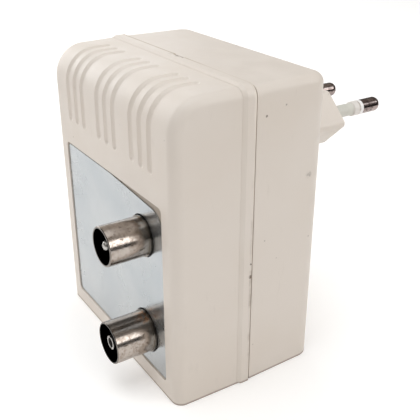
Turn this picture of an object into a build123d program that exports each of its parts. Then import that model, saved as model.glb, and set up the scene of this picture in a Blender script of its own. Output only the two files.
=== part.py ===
"""Aerial signal amplifier in a wall plug case.

Two moulded shells meet at a raised band. The front shell carries a foil label in a recess, nine
shallow grooves that run over its top edge, and two coaxial sockets. The rear shell carries the
mains plug. Inside are a screened radio board, a mains transformer and its rectifier board.

Millimetres. X runs to the right seen from the front, Y from the front face to the plug, Z up.
The origin is the middle of the flat underside.
"""
from build123d import *
import math
import os

# Case, over the raised band at the seam
case_width = 62.8
case_height = 75.5
case_depth = 41.0
front_share = 0.488
wall = 2.2
band_length = 3.2
band_rise = 0.45
band_ramp = 1.0
front_draft = 0.3
front_top_draft = 0.4
rear_draft = 0.55
edge_radius = 2.5
front_top_radius = 8.0
rear_corner_radius = 4.0
inner_edge_radius = 0.8
seam_gap = 0.55
lip_length = 2.4
lip_clearance = 0.1
pry_slot_width = 4.6
pry_slot_length = 0.7
pry_slot_depth = 0.9
pry_slot_x = 0.8
rib_share = 0.7

# Grooves over the top front edge: three groups of three
groove_groups = 3
grooves_in_group = 3
group_pitch_share = 0.271
groove_pitch = 4.2
groove_width = 2.3
groove_depth = 0.5
groove_drop = 18.7
groove_run_back = 12.3

# Label and its recess in the front face
recess_side_margin = 6.0
recess_low_z = 4.2
recess_to_grooves = 6.7
recess_depth = 0.6
recess_corner_radius = 1.2
label_side_gap = 0.15
label_top_gap = 0.55
label_low_gap = 0.3
label_fall = 1.5
label_thickness = 0.3
label_corner_radius = 1.2
label_wide_radius = 5.0

# Coaxial sockets in the front face: a male one above, a female one below
socket_from_can_side = 7.1
male_from_can_top = 8.7
female_z = 13.65
socket_reach = 10.0
male_radius = 4.75
male_wall = 0.5
female_radius = 5.2
female_wall = 0.4
mouth_bevel = 0.15
panel_gap = 0.45
root_rise = 0.2
root_length = 0.4
flange_width = 0.8
flange_thickness = 0.8
male_pin_radius = 1.2
male_pin_inset = 0.4
male_pin_tip_share = 0.8
male_seat_length = 7.0
female_contact_radius = 1.7
female_contact_bore = 1.2
female_contact_inset = 0.5
female_seat_length = 8.8
contact_slit = 0.35
contact_slit_length = 5.0
tail_radius = 0.6
tail_past_board = 1.2
socket_clearance = 0.04

# Mains plug: boss on the rear shell, two pins with sleeves
plug_drop = 19.2
boss_length = 18.8
boss_half_width = 17.2
boss_flat_half_width = 10.2
boss_half_height = 7.15
boss_end_half_height = 0.6
boss_drop = 0.35
boss_wall = 2.0
boss_end_wall = 5.0
boss_edge_radius = 1.0
boss_end_radius = 0.8
pin_spacing_base = 18.6
pin_spacing_tip = 17.5
pin_length = 19.3
pin_radius = 2.0
pin_tip_radius = 1.7
pin_core_radius = 1.25
pin_bare_length = 6.9
pin_tail_length = 4.5
pin_collar_length = 3.2
sleeve_neck_radius = 1.7
sleeve_collar_radius = 2.0
sleeve_bevel = 0.3
pin_clearance = 0.03
sleeve_gap = 0.06

# Screws that close the case
case_screw_shank_radius = 1.1
case_screw_head_radius = 2.1
case_screw_head_height = 1.5
case_screw_bite = 5.1
case_post_radius = 2.3
case_sleeve_wall = 1.2
case_sleeve_bite = 0.3
case_counterbore_radius = 2.3
case_counterbore_depth = 12.5
screw_clearance = 0.05
screw_recess_width = 0.7
screw_recess_depth = 0.8
screw_recess_share = 0.7

# Screening can round the radio board
can_left_margin = 10.2
can_right_margin = 5.3
can_low_z = 7.0
can_top_margin = 24.45
can_depth_share = 0.2585
can_sheet = 0.5
can_gap = 0.1
can_corner_radius = 0.8
can_rib_length = 8.0
can_rib_height = 7.0
lid_sheet = 0.5
lid_rim_share = 0.285
lid_clearance = 0.08
barrier_thickness = 0.4
barrier_margin = 1.0

# Radio board and what it carries
radio_board_thickness = 1.6
radio_board_gap = 0.15
radio_board_stand_share = 0.3
toroid_outer_radius = 2.6
toroid_inner_radius = 1.1
toroid_height = 2.4
toroid_x_places_share = (0.22, 0.5, 0.66)
toroid_z_places_share = (0.5, 0.78, 0.4)
transistor_radius = 2.4
transistor_height = 1.9
transistor_lead_length = 2.2
transistor_lead_width = 0.8
transistor_lead_thickness = 0.25
transistor_x_places_share = (0.36, 0.62)
transistor_z_places_share = (0.62, 0.6)
disc_radius_share = 0.43
disc_thickness = 1.5
disc_x_places_share = (0.12, 0.3, 0.5, 0.46)
disc_z_places_share = (0.3, 0.86, 0.3, 0.12)

# Power board, standing behind the can
power_board_gap = 0.4
power_board_thickness = 1.6
power_board_left_margin = 2.6
power_board_right_margin = 5.8
power_board_low_z = 8.6
power_board_top_margin = 6.4
standoff_radius = 2.4
board_screw_shank_radius = 1.1
board_screw_head_radius = 2.0
board_screw_head_height = 1.4
board_screw_length = 6.0
board_screw_inset = 3.6
board_screw_low_z = 14.5
board_screw_from_can = 4.6

# Transformer: laminated core, bobbin and two windings
core_width = 30.0
core_height = 25.0
core_rear_room = 3.65
core_leg = 10.0
core_yoke = 5.0
transformer_z = 23.6
bobbin_wall = 0.8
bobbin_gap = 0.15
bobbin_flange = 0.8
bobbin_reach = 4.2
winding_reach = 3.4
winding_clearance = 0.05
winding_corner_radius = 1.6
fuse_radius = 1.1
fuse_length = 6.0

# Parts on the power board
smoothing_radius = 5.0
smoothing_length = 16.0
smoothing_bevel = 0.6
smoothing_drop = 6.6
diode_radius = 1.3
diode_length = 5.0
diode_wire_radius = 0.4
diode_overhang = 1.6
diode_pitch = 3.2
diode_count = 4
diode_stand = 0.2
regulator_radius = 2.3
regulator_flat = 1.3
regulator_height = 4.8
regulator_leg_radius = 0.25
regulator_leg_length = 3.0
regulator_leg_pitch = 1.27
regulator_x = -11.0
regulator_drop = 5.9

# Leads inside the case
lead_radius = 0.9
mains_lead_from_board_side = 4.0
mains_lead_x_shares = (0.04, 0.42, 1.0)
mains_lead_y_shares = (0.3, 0.545, 0.725)
mains_lead_drop_shares = (0.0, 0.34, 1.0)
dc_lead_radius = 0.6
dc_lead_from_board_side = 1.2
feedthrough_y_share = 0.38
dc_lead_drops = (4.4, 9.4)
feedthrough_radius_share = 0.29
feedthrough_length = 3.0
feedthrough_wire_radius = 0.4
feedthrough_wire_length = 1.4
arc_share = 0.45

overrun = 1.0

# Places worked out from the sizes above
front_y = -case_depth / 2
back_y = case_depth / 2
front_depth = case_depth * front_share
seam_y = front_y + front_depth
band_y = seam_y - band_length
body_half = case_width / 2 - band_rise
body_top = case_height - band_rise
front_inner_y = front_y + wall
back_inner_y = back_y - wall
cavity_half = body_half - max(front_draft, rear_draft) - wall
cavity_top = body_top - wall
plug_z = case_height - plug_drop
group_pitch = case_width * group_pitch_share
groove_low_z = case_height - groove_drop
recess_width = case_width - 2 * recess_side_margin
recess_height = groove_low_z - recess_to_grooves - recess_low_z
label_width = recess_width - 2 * label_side_gap
can_left = can_left_margin - cavity_half
can_right = cavity_half - can_right_margin
can_top_z = cavity_top - can_top_margin
socket_x = can_right - socket_from_can_side
male_z = can_top_z - male_from_can_top
rib_thickness = wall * rib_share
boss_end_y = back_y + boss_length
case_sleeve_radius = case_counterbore_radius + case_sleeve_wall
case_screw_x = cavity_half - case_sleeve_radius + case_sleeve_bite
case_screw_low_z = wall + case_sleeve_radius - case_sleeve_bite
case_screw_top_z = cavity_top - case_sleeve_radius + case_sleeve_bite
case_screw_seat_y = back_y - case_counterbore_depth
case_screw_length = case_screw_seat_y - seam_y + lip_length + case_screw_bite
can_depth = case_depth * can_depth_share
can_front_y = front_inner_y + can_gap
can_back_y = can_front_y + can_depth
radio_board_front = can_front_y + can_sheet + can_depth * radio_board_stand_share
radio_board_back = radio_board_front + radio_board_thickness
radio_room = can_back_y - radio_board_back
lid_rim_length = radio_room * lid_rim_share
disc_radius = radio_room * disc_radius_share
feedthrough_radius = radio_room * feedthrough_radius_share
feedthrough_y = radio_board_back + radio_room * feedthrough_y_share
power_board_front = can_back_y + lid_sheet + barrier_thickness + power_board_gap
power_board_back = power_board_front + power_board_thickness
power_board_left = power_board_left_margin - cavity_half
power_board_right = cavity_half - power_board_right_margin
power_board_top_z = cavity_top - power_board_top_margin
board_screw_top_z = power_board_top_z - board_screw_inset
board_screw_side_x = power_board_right - board_screw_inset
board_screw_spots = ((can_left - board_screw_from_can, board_screw_low_z),
                     (-board_screw_side_x, board_screw_top_z),
                     (board_screw_side_x, board_screw_top_z))
smoothing_spot = (0, power_board_top_z - smoothing_drop)
regulator_spot = (regulator_x, power_board_top_z - regulator_drop)
dc_lead_x = power_board_left + dc_lead_from_board_side
dc_lead_spots_z = [can_top_z - drop for drop in dc_lead_drops]
core_stack = (back_inner_y - core_rear_room - power_board_back - bobbin_gap
              - 2 * (bobbin_gap + bobbin_reach))
winding_half_y = core_stack / 2 + bobbin_gap + bobbin_reach
transformer_y = power_board_back + winding_half_y + bobbin_gap
window_low_z = transformer_z - core_height / 2 + core_yoke
window_top_z = transformer_z + core_height / 2 - core_yoke
diode_z = (transformer_z + core_height / 2 + smoothing_spot[1] - smoothing_radius) / 2


def save(shape, node):
    """Writes one named piece."""
    export_step(shape, f"parts/{node}.step")


def rod_y(radius, start, end, x, z):
    """Round bar along Y."""
    bar = Cylinder(radius, end - start, align=(Align.CENTER, Align.CENTER, Align.MIN))
    return Pos(x, start, z) * Rot(-90, 0, 0) * bar


def block(x0, x1, y0, y1, z0, z1):
    """Block between two corners."""
    middle = Pos((x0 + x1) / 2, (y0 + y1) / 2, (z0 + z1) / 2)
    return middle * Box(x1 - x0, y1 - y0, z1 - z0)


def drafted_block(y0, y1, half0, half1, top):
    """Block on the underside plane whose half width goes from half0 at y0 to half1 at y1."""
    plan = make_face(Polyline((-half0, y0), (half0, y0), (half1, y1), (-half1, y1), close=True))
    return extrude(plan, amount=top)


def hexagon_bar(half_width, flat_half, half_height, end_half, y0, y1):
    """Long hexagon with blunt ends, a little below the pins' height and running along Y."""
    plane = Plane(origin=(0, y0, plug_z - boss_drop), x_dir=(1, 0, 0), z_dir=(0, 1, 0))
    outline = Polyline(
        (-half_width, -end_half), (-flat_half, -half_height), (flat_half, -half_height),
        (half_width, -end_half), (half_width, end_half), (flat_half, half_height),
        (-flat_half, half_height), (-half_width, end_half), close=True)
    return extrude(plane * make_face(outline), amount=y1 - y0)


def arc_radii(points):
    """Radius of each corner of a route: the share of its shorter run that the turn allows."""
    radii = []
    for before, here, after in zip(points, points[1:], points[2:]):
        run_in = Vector(*here) - Vector(*before)
        run_out = Vector(*after) - Vector(*here)
        turn = math.radians(run_in.get_angle(run_out))
        shorter = min(run_in.length, run_out.length)
        radii.append(arc_share * shorter / math.tan(turn / 2))
    return radii


def wire_solid(points, radius, name):
    """Round wire along straight runs joined by tangent arcs."""
    radii = arc_radii(points)
    route = FilletPolyline(*points, radius=radii)
    start = Plane(origin=points[0], z_dir=Vector(*points[1]) - Vector(*points[0]))
    wire = sweep(start * Circle(radius), path=route)
    shares = wire.volume / (math.pi * radius ** 2 * route.length)
    print(name, "radii", [round(r, 1) for r in radii], "volume against section times length", round(shares, 4))
    return wire


def over_top():
    """Wedge above the front shell's top, which falls a little towards the front."""
    low = body_top - front_top_draft
    side = make_face(Plane.YZ * Polyline((front_y, low), (seam_y, body_top), (seam_y, case_height),
                                         (front_y, case_height), close=True))
    return extrude(side, amount=case_width, both=True)


def outer_front():
    """Outside of the front shell: drafted block, deep radius over the top front edge, band."""
    body = drafted_block(front_y, seam_y, body_half - front_draft, body_half, body_top) - over_top()
    top_front = body.edges().filter_by(Axis.X).sort_by(Axis.Y)[:2].sort_by(Axis.Z)[-1]
    body = fillet(top_front, front_top_radius)
    side_edges = []
    for face in (body.faces().sort_by(Axis.X)[0], body.faces().sort_by(Axis.X)[-1]):
        for edge in face.edges():
            middle = edge.center()
            if middle.Z > edge_radius / 2 and middle.Y < seam_y - band_length / 2:
                side_edges.append(edge)
    body = fillet(side_edges, edge_radius)
    return body + seam_band()


def seam_band():
    """Band that stands proud of both shells at the seam and ramps down to the front shell."""
    band = block(-case_width / 2, case_width / 2, band_y + band_ramp, seam_y, 0, case_height)
    tops = band.edges().filter_by(Axis.Y).sort_by(Axis.Z)[-2:]
    band = fillet(tops, edge_radius + band_rise)
    slope = math.degrees(math.atan(band_rise / band_ramp))
    return band + extrude(band.faces().sort_by(Axis.Y)[0], amount=band_ramp, taper=slope)


def outer_rear():
    """Outside of the rear shell, with its rounded back corners and top edges."""
    body = drafted_block(seam_y, back_y, body_half, body_half - rear_draft, body_top)
    corners = body.edges().filter_by(Axis.Z).sort_by(Axis.Y)[-2:]
    body = fillet(corners, rear_corner_radius)
    top_face = body.faces().sort_by(Axis.Z)[-1]
    rim = [edge for edge in top_face.edges() if edge.center().Y > seam_y + edge_radius / 2]
    return fillet(rim, edge_radius)


def cavity(y0, y1, front_radius):
    """Hollow inside one shell, with a radius along its top front edge where one is given."""
    hollow = block(-cavity_half, cavity_half, y0, y1, wall, cavity_top)
    if front_radius > 0:
        top_front = hollow.edges().filter_by(Axis.X).sort_by(Axis.Y)[:2].sort_by(Axis.Z)[-1]
        hollow = fillet(top_front, front_radius)
    return fillet(hollow.edges().filter_by(Axis.Y), inner_edge_radius)


def groove(x):
    """One shallow channel: up the front face, over the edge radius and back along the top."""
    radius = (groove_width ** 2 / 4 + groove_depth ** 2) / (2 * groove_depth)
    stand_off = radius - groove_depth
    bend = front_top_radius + stand_off
    slope = math.atan(front_top_draft / front_depth)
    middle_y = front_y + front_top_radius
    middle_z = body_top - (seam_y - middle_y) * math.tan(slope) - front_top_radius / math.cos(slope)
    bend_points = []
    for share in (0, 1 / 2, 1):
        angle = math.pi - share * (math.pi / 2 - slope)
        bend_points.append((x, middle_y + bend * math.cos(angle), middle_z + bend * math.sin(angle)))
    up = Line((x, front_y - stand_off, groove_low_z + groove_width / 2), bend_points[0])
    over = ThreePointArc(*bend_points)
    run = front_y + groove_run_back - groove_width / 2 - bend_points[2][1]
    along = Line(over @ 1, (x, bend_points[2][1] + run, bend_points[2][2] + run * math.tan(slope)))
    start = Plane(origin=up @ 0, z_dir=(0, 0, 1))
    channel = sweep(start * Circle(radius), path=Wire([up, over, along]))
    ends = [Pos(*(up @ 0)) * Sphere(radius), Pos(*(along @ 1)) * Sphere(radius)]
    return channel + ends[0] + ends[1]


def groove_places():
    """X of every groove, group by group."""
    places = []
    for group in range(groove_groups):
        middle = (group - (groove_groups - 1) / 2) * group_pitch
        for number in range(grooves_in_group):
            places.append(middle + (number - (grooves_in_group - 1) / 2) * groove_pitch)
    return places


def front_plate(outline, y0, y1):
    """Upright plate between two depths from the corners of its outline, given as X and Z."""
    plane = Plane(origin=(0, y1, 0), x_dir=(1, 0, 0), z_dir=(0, -1, 0))
    return extrude(plane * make_face(Polyline(*outline, close=True)), amount=y1 - y0)


def recess():
    """Cutter of the label's recess."""
    half = recess_width / 2
    top = recess_low_z + recess_height
    plate = front_plate([(-half, recess_low_z), (half, recess_low_z), (half, top), (-half, top)],
                        front_y - overrun, front_y + recess_depth)
    return fillet(plate.edges().filter_by(Axis.Y), recess_corner_radius)


def socket_list():
    """Height and outer radius of each socket, the male one first."""
    return ((male_z, male_radius), (female_z, female_radius))


def case_screw_places():
    """X and Z of the screws that close the case."""
    return [(x, z) for x in (-case_screw_x, case_screw_x) for z in (case_screw_low_z, case_screw_top_z)]


def can_rib_places():
    """X and Z of the ribs that stand above and below the can."""
    spots_x = (can_left + can_rib_length, can_right - can_rib_length)
    above = can_top_z + can_gap + rib_thickness / 2
    below = can_low_z - can_gap - rib_thickness / 2
    return [(x, z) for x in spots_x for z in (below, above)]


def front_shell():
    """Moulded front half: grooves, label recess, socket holes, posts and the rebate for the lip."""
    shell = outer_front() - cavity(front_inner_y, seam_y + overrun, front_top_radius - wall)
    for x, z in case_screw_places():
        shell = shell + rod_y(case_post_radius, front_inner_y - wall / 2, seam_y - lip_length, x, z)
        near, far = sorted((x, math.copysign(cavity_half + wall / 2, x)))
        shell = shell + block(near, far, front_inner_y - wall / 2, seam_y - lip_length,
                              z - rib_thickness / 2, z + rib_thickness / 2)
    for x, z in can_rib_places():
        shell = shell + block(x - can_rib_length / 2, x + can_rib_length / 2, front_inner_y - wall / 2,
                              front_inner_y + can_rib_height, z - rib_thickness / 2, z + rib_thickness / 2)
    for x, z in board_screw_spots:
        shell = shell + rod_y(standoff_radius, front_inner_y - wall / 2, power_board_front, x, z)
    shell = shell & outer_front()
    rebate_half = body_half - wall / 2
    rebate_top = body_top - wall / 2
    rebate = block(-rebate_half, rebate_half, seam_y - lip_length, seam_y + overrun, wall / 2, rebate_top)
    shell = shell - fillet(rebate.edges().filter_by(Axis.Y), edge_radius - wall / 2)
    for x in groove_places():
        shell = shell - groove(x)
    shell = shell - recess()
    for z, radius in socket_list():
        hole = radius + panel_gap
        shell = shell - rod_y(hole, front_y - overrun, front_inner_y + overrun, socket_x, z)
    for x, z in case_screw_places():
        bore = case_screw_shank_radius + screw_clearance
        tip_y = case_screw_seat_y - case_screw_length - screw_clearance
        shell = shell - rod_y(bore, tip_y, seam_y + overrun, x, z)
    for x, z in board_screw_spots:
        bore = board_screw_shank_radius + screw_clearance
        tip_y = power_board_back - board_screw_length - screw_clearance
        shell = shell - rod_y(bore, tip_y, power_board_front + overrun, x, z)
    slot_x0 = pry_slot_x - pry_slot_width / 2
    slot = block(slot_x0, slot_x0 + pry_slot_width, seam_y - pry_slot_length, seam_y + overrun,
                 case_height - pry_slot_depth, case_height + overrun)
    return shell - slot


def rear_lip():
    """Tongue of the rear shell that stands in the front shell's rebate."""
    outer_half = body_half - wall / 2 - lip_clearance
    outer_top = body_top - wall / 2 - lip_clearance
    outer_low = wall / 2 + lip_clearance
    outer = block(-outer_half, outer_half, seam_y - lip_length, seam_y + wall, outer_low, outer_top)
    outer = fillet(outer.edges().filter_by(Axis.Y), edge_radius - wall / 2 - lip_clearance)
    return outer - cavity(seam_y - lip_length - overrun, seam_y + wall + overrun, 0)


def boss():
    """Outside of the plug, rooted in the back wall."""
    bar = hexagon_bar(boss_half_width, boss_flat_half_width, boss_half_height,
                      boss_end_half_height, back_y - wall / 2, boss_end_y)
    long_edges = bar.edges().filter_by(Axis.Y)
    bar = fillet(long_edges, boss_edge_radius)
    end_face = bar.faces().sort_by(Axis.Y)[-1]
    return fillet(end_face.edges(), boss_end_radius)


def boss_hollow():
    """Hollow of the plug, open to the case."""
    share = (boss_half_height - boss_wall) / boss_half_height
    return hexagon_bar(boss_half_width - boss_wall, boss_flat_half_width * share,
                       boss_half_height - boss_wall, boss_end_half_height * share,
                       back_inner_y - overrun, boss_end_y - boss_end_wall)


def rear_shell():
    """Moulded rear half: lip, plug boss, screw sleeves and the ribs behind the transformer."""
    shell = outer_rear() - cavity(seam_y - overrun, back_inner_y, 0)
    shell = shell - block(-case_width, case_width, seam_y - overrun, seam_y + seam_gap, -overrun, case_height)
    lip_end = seam_y - lip_length
    sleeves = [rod_y(case_sleeve_radius, lip_end, back_y - wall / 2, x, z) for x, z in case_screw_places()]
    inner = cavity(lip_end - overrun, back_inner_y + wall / 2, 0)
    for sleeve in sleeves:
        shell = shell + (sleeve & inner)
    shell = shell + rear_lip() + boss() - boss_hollow()
    rib_x = core_width / 2 - core_yoke / 2
    core_back = transformer_y + core_stack / 2
    for side in (-1, 1):
        middle = side * rib_x
        shell = shell + block(middle - rib_thickness / 2, middle + rib_thickness / 2,
                              core_back + bobbin_gap, back_inner_y + wall / 2,
                              transformer_z - core_height / 2, transformer_z + core_height / 2)
    for x, z in case_screw_places():
        shell = shell - rod_y(case_counterbore_radius, case_screw_seat_y, back_y + overrun, x, z)
        bore = case_screw_shank_radius + screw_clearance
        shell = shell - rod_y(bore, lip_end - overrun, case_screw_seat_y + overrun, x, z)
    for side in (-1, 1):
        hole = Cylinder(pin_core_radius + pin_clearance, 2 * boss_end_wall + overrun)
        shell = shell - pin_plane(side).location * hole
    return shell


def pin_plane(side):
    """Plane on the end of the boss whose normal is the pin's axis; the pins lean together."""
    lean = (pin_spacing_base - pin_spacing_tip) / 2
    base = (side * pin_spacing_base / 2, boss_end_y, plug_z)
    return Plane(origin=base, x_dir=(0, 0, 1), z_dir=(-side * lean, pin_length, 0))


def turned(profile, plane):
    """Solid of revolution: profile points are radius and height, stood on a plane."""
    face = make_face(Plane.XZ * Polyline(*profile, close=True))
    return plane.location * revolve(face, Axis.Z)


def plug_pin(side):
    """Brass pin: bare end with a rounded tip, thin core under the sleeve, tail in the hollow."""
    tail = -boss_end_wall - pin_tail_length
    bare = pin_length - pin_bare_length
    pin = turned([(0, tail), (pin_core_radius, tail), (pin_core_radius, bare), (pin_radius, bare),
                  (pin_radius, pin_length), (0, pin_length)], Plane.XY)
    tip = pin.edges().filter_by(GeomType.CIRCLE).sort_by(Axis.Z)[-1]
    return pin_plane(side).location * fillet(tip, pin_tip_radius)


def pin_sleeve(side):
    """Insulating sleeve: thin neck from the boss, thicker collar where the bare end starts."""
    bare = pin_length - pin_bare_length
    neck = bare - pin_collar_length
    bore = pin_core_radius + pin_clearance
    profile = [(bore, sleeve_gap), (sleeve_neck_radius, sleeve_gap), (sleeve_neck_radius, neck - sleeve_bevel),
               (sleeve_collar_radius, neck), (sleeve_collar_radius, bare), (bore, bare)]
    return turned(profile, pin_plane(side))


def socket_plane(z):
    """Plane on the front face at a socket, its normal pointing out of the face."""
    return Plane(origin=(socket_x, front_y, z), x_dir=(1, 0, 0), z_dir=(0, -1, 0))


def socket_shell(z, radius, thickness):
    """Turned barrel with a flange that sits inside the can's front wall."""
    back = front_y - can_front_y - can_sheet
    inner = radius - thickness
    profile = [(inner, back - flange_thickness), (radius + flange_width, back - flange_thickness),
               (radius + flange_width, back), (radius + root_rise, back),
               (radius + root_rise, root_length), (radius, root_length),
               (radius, socket_reach - mouth_bevel),
               (radius - mouth_bevel, socket_reach), (inner, socket_reach)]
    return turned(profile, socket_plane(z))


def socket_insulator(z, radius, thickness, seat_length, core_radius):
    """Plastic core that fills the back of the barrel and holds the centre contact."""
    back = front_y - can_front_y - can_sheet - flange_thickness
    outer = radius - thickness - socket_clearance
    inner = core_radius + socket_clearance
    profile = [(inner, back), (outer, back), (outer, back + seat_length), (inner, back + seat_length)]
    return turned(profile, socket_plane(z))


def tail_end():
    """Height of the contacts' tails under the front face, just past the radio board."""
    return front_y - radio_board_back - tail_past_board


def male_pin():
    """Centre pin of the male socket, with its thin tail through the radio board."""
    step = front_y - radio_board_front
    top = socket_reach - male_pin_inset
    profile = [(0, tail_end()), (tail_radius, tail_end()), (tail_radius, step + tail_radius),
               (male_pin_radius, step + 2 * tail_radius), (male_pin_radius, top), (0, top)]
    pin = turned(profile, Plane.XY)
    tip = pin.edges().filter_by(GeomType.CIRCLE).sort_by(Axis.Z)[-1]
    return socket_plane(male_z).location * fillet(tip, male_pin_radius * male_pin_tip_share)


def female_contact():
    """Slit tube that takes the other connector's centre pin, with its tail through the board."""
    step = front_y - radio_board_front
    top = socket_reach - female_contact_inset
    floor = top - contact_slit_length - female_contact_radius
    profile = [(0, tail_end()), (tail_radius, tail_end()), (tail_radius, step + tail_radius),
               (female_contact_radius, step + 2 * tail_radius), (female_contact_radius, top),
               (female_contact_bore, top), (female_contact_bore, floor), (0, floor)]
    tube = turned(profile, Plane.XY)
    slit = Pos(0, 0, top) * Box(contact_slit, 2 * female_contact_radius + overrun, 2 * contact_slit_length)
    return socket_plane(female_z).location * (tube - slit)


def front_label():
    """Foil label: its top edge falls from the middle to a wide corner on the sockets' side."""
    back = front_y + recess_depth
    low = recess_low_z + label_low_gap
    top = recess_low_z + recess_height - label_top_gap
    half = label_width / 2
    plate = front_plate([(-half, low), (half, low), (half, top - label_fall), (0, top), (-half, top)],
                        back - label_thickness, back)
    wide = plate.edges().filter_by(Axis.Y).sort_by(Axis.X)[-2:].sort_by(Axis.Z)[-1]
    plate = fillet(wide, label_wide_radius)
    corners = plate.edges().filter_by(Axis.Y)
    corners = corners.sort_by(Axis.X)[:2] + corners.sort_by(Axis.Z)[:2].sort_by(Axis.X)[-1:]
    plate = fillet(corners, label_corner_radius)
    for z, radius in socket_list():
        plate = plate - rod_y(radius + panel_gap, back - label_thickness - overrun, back + overrun, socket_x, z)
    return plate


def screw(x, z, seat_y, length, shank_radius, head_radius, head_height):
    """Pan head screw driven from the plug side, with a cross recess."""
    shank = rod_y(shank_radius, seat_y - length, seat_y, x, z)
    head = rod_y(head_radius, seat_y, seat_y + head_height, x, z)
    rim = head.edges().filter_by(GeomType.CIRCLE).sort_by(Axis.Y)[-1]
    head = fillet(rim, head_height / 2)
    reach = head_radius * screw_recess_share
    floor = seat_y + head_height - screw_recess_depth
    half = screw_recess_width / 2
    cross = block(x - reach, x + reach, floor, seat_y + head_height + overrun, z - half, z + half)
    cross = cross + block(x - half, x + half, floor, seat_y + head_height + overrun, z - reach, z + reach)
    return shank + head - cross


def case_screws():
    """The four screws that close the case."""
    return Compound(children=[
        screw(x, z, case_screw_seat_y, case_screw_length, case_screw_shank_radius,
              case_screw_head_radius, case_screw_head_height) for x, z in case_screw_places()])


def board_screws():
    """The screws that hold the power board on its standoffs."""
    return Compound(children=[
        screw(x, z, power_board_back, board_screw_length, board_screw_shank_radius,
              board_screw_head_radius, board_screw_head_height) for x, z in board_screw_spots])


def shield_can():
    """Folded tinplate box, open towards the plug, with holes for the sockets and the supply."""
    outer = block(can_left, can_right, can_front_y, can_back_y, can_low_z, can_top_z)
    outer = fillet(outer.edges().filter_by(Axis.Y), can_corner_radius)
    inner = block(can_left + can_sheet, can_right - can_sheet, can_front_y + can_sheet,
                  can_back_y + overrun, can_low_z + can_sheet, can_top_z - can_sheet)
    inner = fillet(inner.edges().filter_by(Axis.Y), can_corner_radius - can_sheet)
    can = outer - inner
    for z, radius in socket_list():
        hole = radius + root_rise + socket_clearance
        can = can - rod_y(hole, can_front_y - overrun, can_front_y + overrun, socket_x, z)
    hole = Cylinder(feedthrough_radius + socket_clearance, 2 * overrun)
    can = can - Pos(can_left, feedthrough_y, dc_lead_spots_z[0]) * Rot(0, 90, 0) * hole
    return can


def shield_lid():
    """Pressed lid: flat plate on the can's rim with a turned rim that enters the can."""
    plate = block(can_left, can_right, can_back_y, can_back_y + lid_sheet, can_low_z, can_top_z)
    plate = fillet(plate.edges().filter_by(Axis.Y), can_corner_radius)
    inset = can_sheet + lid_clearance
    rim = block(can_left + inset, can_right - inset, can_back_y - lid_rim_length, can_back_y,
                can_low_z + inset, can_top_z - inset)
    inset = inset + lid_sheet
    hollow = block(can_left + inset, can_right - inset, can_back_y - lid_rim_length - overrun, can_back_y,
                   can_low_z + inset, can_top_z - inset)
    return plate + (rim - hollow)


def insulation_barrier():
    """Stiff paper sheet between the can's lid and the mains side."""
    start = can_back_y + lid_sheet
    return block(can_left - barrier_margin, can_right - barrier_margin, start, start + barrier_thickness,
                 can_low_z + barrier_margin, can_top_z + barrier_margin)


def radio_board_place(x_share, z_share):
    """Point on the radio board given as shares of its width and height."""
    return (can_left + x_share * (can_right - can_left), can_low_z + z_share * (can_top_z - can_low_z))


def radio_board():
    """Circuit board across the can, with holes for the contacts' tails."""
    inset = can_sheet + radio_board_gap
    board = block(can_left + inset, can_right - inset, radio_board_front, radio_board_back,
                  can_low_z + inset, can_top_z - inset)
    for z, _ in socket_list():
        hole = tail_radius + socket_clearance
        board = board - rod_y(hole, radio_board_front - overrun, radio_board_back + overrun, socket_x, z)
    return board


def ferrite_rings():
    """Ferrite rings that the matching coils are wound on."""
    rings = []
    for shares in zip(toroid_x_places_share, toroid_z_places_share):
        x, z = radio_board_place(*shares)
        ring = rod_y(toroid_outer_radius, radio_board_back, radio_board_back + toroid_height, x, z)
        hole = rod_y(toroid_inner_radius, radio_board_back - overrun,
                     radio_board_back + toroid_height + overrun, x, z)
        rings.append(ring - hole)
    return Compound(children=rings)


def transistors():
    """Round high frequency transistors with flat leads in a cross."""
    made = []
    for shares in zip(transistor_x_places_share, transistor_z_places_share):
        x, z = radio_board_place(*shares)
        body = rod_y(transistor_radius, radio_board_back, radio_board_back + transistor_height, x, z)
        reach = transistor_radius + transistor_lead_length
        half = transistor_lead_width / 2
        top = radio_board_back + transistor_lead_thickness
        body = body + block(x - reach, x + reach, radio_board_back, top, z - half, z + half)
        made.append(body + block(x - half, x + half, radio_board_back, top, z - reach, z + reach))
    return Compound(children=made)


def disc_capacitors():
    """Ceramic discs standing on the radio board."""
    made = []
    for shares in zip(disc_x_places_share, disc_z_places_share):
        x, z = radio_board_place(*shares)
        disc = Rot(0, 90, 0) * Cylinder(disc_radius, disc_thickness)
        disc = Pos(x, radio_board_back + disc_radius, z) * disc
        half = disc_thickness / 2
        foot = block(x - half, x + half, radio_board_back, radio_board_back + disc_radius,
                     z - disc_radius / 2, z + disc_radius / 2)
        made.append(disc + foot)
    return Compound(children=made)


def power_board():
    """Circuit board for the supply, with screw holes."""
    board = block(power_board_left, power_board_right, power_board_front, power_board_back,
                  power_board_low_z, power_board_top_z)
    for x, z in board_screw_spots:
        bore = board_screw_shank_radius + screw_clearance
        board = board - rod_y(bore, power_board_front - overrun, power_board_back + overrun, x, z)
    return board


def ring_round_leg(reach, z0, z1, corner):
    """Rectangular ring round the core's middle leg and the bobbin's tube."""
    tube = bobbin_gap + bobbin_wall
    half_x = core_leg / 2 + tube
    half_y = core_stack / 2 + tube
    outer = block(-core_leg / 2 - bobbin_gap - reach, core_leg / 2 + bobbin_gap + reach,
                  transformer_y - core_stack / 2 - bobbin_gap - reach,
                  transformer_y + core_stack / 2 + bobbin_gap + reach, z0, z1)
    if corner > 0:
        outer = fillet(outer.edges().filter_by(Axis.Z), corner)
    clear = winding_clearance
    inner = block(-half_x - clear, half_x + clear, transformer_y - half_y - clear,
                  transformer_y + half_y + clear, z0 - overrun, z1 + overrun)
    return outer - inner


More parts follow.
